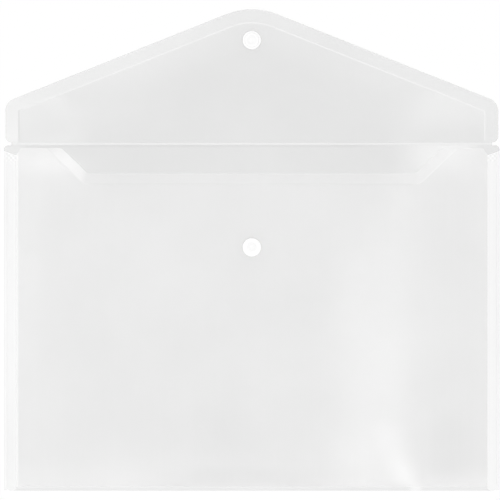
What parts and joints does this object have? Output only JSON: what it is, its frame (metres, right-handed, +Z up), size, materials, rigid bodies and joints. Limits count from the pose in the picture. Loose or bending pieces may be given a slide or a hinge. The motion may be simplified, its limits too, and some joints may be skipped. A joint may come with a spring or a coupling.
{
  "type": "document wallet",
  "caption": "Translucent film document wallet with a pointed fold-over flap, a gusseted pocket with a cut-down throat in its front panel, and a press snap that holds the flap shut.",
  "frame": {"origin": "centre of the back panel's outer face, on the surface that the wallet lies on", "axes": "+X to the right along the crease, +Y from the bottom fold towards the flap, +Z up out of the front panel"},
  "size_m": [0.335, 0.3249, 0.008],
  "materials": {
    "film": "frosted translucent polypropylene film",
    "snap_white": "smooth white moulded plastic"
  },
  "bodies": {
    "pocket": {"back_panel": "film", "flap_crease": "film", "bottom_fold_back": "film", "bottom_fold_front": "film", "left_gusset": "film", "right_gusset": "film", "left_gusset_mouth": "film", "right_gusset_mouth": "film"},
    "front": {"front_panel": "film", "snap_stud": "snap_white", "stud_cap": "snap_white"},
    "flap": {"flap_panel": "film", "snap_socket": "snap_white", "socket_cap": "snap_white"}
  },
  "joints": [
    {"name": "flap_fold", "type": "hinge", "parent": "pocket", "child": "flap", "pos_m": [0, 0.117, 0.00075], "axis": [1, 0, 0], "range_deg": [0, 175.89], "deforming": ["flap_crease"]},
    {"name": "front_press", "type": "hinge", "parent": "pocket", "child": "front", "pos_m": [0, -0.11395, 0.00305], "axis": [1, 0, 0], "range_deg": [-1.32, 0], "deforming": ["left_gusset_mouth", "right_gusset_mouth"]}
  ],
  "couplings": [
    {"joint": "front_press", "follows": "flap_fold", "ratio": -0.0075047}
  ]
}
